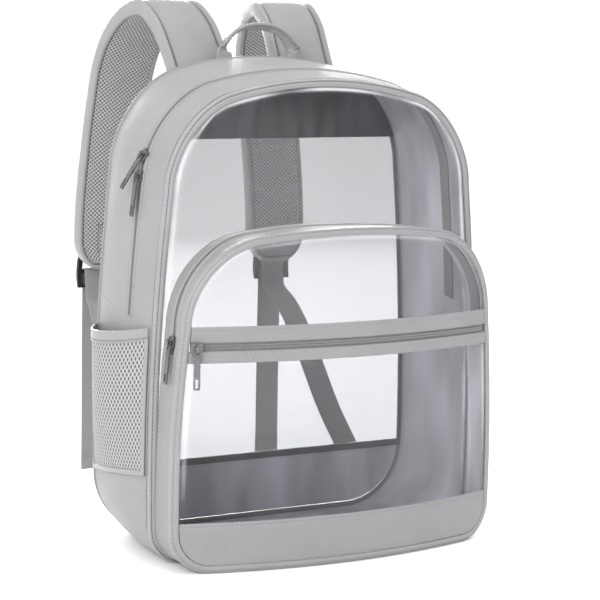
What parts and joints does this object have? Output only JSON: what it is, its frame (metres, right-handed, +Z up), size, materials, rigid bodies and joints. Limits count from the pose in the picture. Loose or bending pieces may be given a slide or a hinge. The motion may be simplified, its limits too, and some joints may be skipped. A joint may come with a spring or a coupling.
{
  "type": "backpack",
  "caption": "Clear backpack with grey bound edges, an arched zip, a clear zipped front pocket, mesh side pockets, a top handle and padded shoulder straps.",
  "frame": {"origin": "middle of the main compartment's base, on the surface that the bag stands on", "axes": "+Z up, -Y towards the front pocket, +X towards the right side as seen from the front"},
  "size_m": [0.3608, 0.327, 0.474],
  "materials": {
    "grey_leather": "satin",
    "clear_sheet": "gloss",
    "dark_lining": "matte",
    "grey_mesh": "matte",
    "zip_tape": "matte",
    "grey_webbing": "matte",
    "black_plastic": "satin",
    "gunmetal": "gloss"
  },
  "bodies": {
    "bag": {"gusset_front": "grey_leather", "gusset_rear": "grey_leather", "gusset_lower": "grey_leather", "main_zip": "zip_tape", "main_binding": "grey_leather", "main_window": "clear_sheet", "back_binding": "grey_leather", "back_window": "clear_sheet", "yoke_lining": "dark_lining", "back_yoke": "grey_leather", "back_base": "grey_leather", "pocket_gusset_front": "grey_leather", "pocket_gusset_rear": "grey_leather", "pocket_gusset_lower": "grey_leather", "pocket_zip": "zip_tape", "pocket_binding": "grey_leather", "pocket_window_lower": "clear_sheet", "pocket_window_upper": "clear_sheet", "pocket_base_strip": "grey_leather", "pocket_band_lower": "grey_leather", "pocket_band_upper": "grey_leather", "pocket_band_zip": "zip_tape", "side_mesh_left": "grey_mesh", "side_hem_left": "grey_leather", "side_mesh_right": "grey_mesh", "side_hem_right": "grey_leather", "strap_left": "grey_leather", "strap_mesh_left": "grey_mesh", "strap_binding_left": "grey_leather", "strap_right": "grey_leather", "strap_mesh_right": "grey_mesh", "strap_binding_right": "grey_leather", "buckle_left": "black_plastic", "strap_end_web_left": "grey_webbing", "webbing_left": "grey_webbing", "anchor_left": "grey_leather", "buckle_right": "black_plastic", "strap_end_web_right": "grey_webbing", "webbing_right": "grey_webbing", "anchor_right": "grey_leather", "top_handle": "grey_leather", "slider_main_upper": "gunmetal", "slider_main_lower": "gunmetal", "slider_pocket": "gunmetal", "slider_band": "gunmetal"},
    "main_upper_pull": {"pull_main_upper": "gunmetal"},
    "main_lower_pull": {"pull_main_lower": "gunmetal"},
    "pocket_pull": {"pull_pocket": "gunmetal"},
    "band_pull": {"pull_band": "gunmetal"}
  },
  "joints": [
    {"name": "main_upper_pull_hinge", "type": "hinge", "parent": "bag", "child": "main_upper_pull", "pos_m": [-0.15404, -0.01583, 0.34463], "axis": [0.0801, 0.9034, 0.4213], "range_deg": [0, 150]},
    {"name": "main_lower_pull_hinge", "type": "hinge", "parent": "bag", "child": "main_lower_pull", "pos_m": [-0.1582, -0.0157, 0.32707], "axis": [-0.0559, 0.9984, 0], "range_deg": [0, 150]},
    {"name": "pocket_pull_hinge", "type": "hinge", "parent": "bag", "child": "pocket_pull", "pos_m": [-0.15595, -0.07683, 0.19391], "axis": [0, 1, 0], "range_deg": [0, 150]},
    {"name": "band_pull_hinge", "type": "hinge", "parent": "bag", "child": "band_pull", "pos_m": [-0.14241, -0.10107, 0.1915], "axis": [-0.9583, 0.2857, 0], "range_deg": [0, 150]}
  ]
}
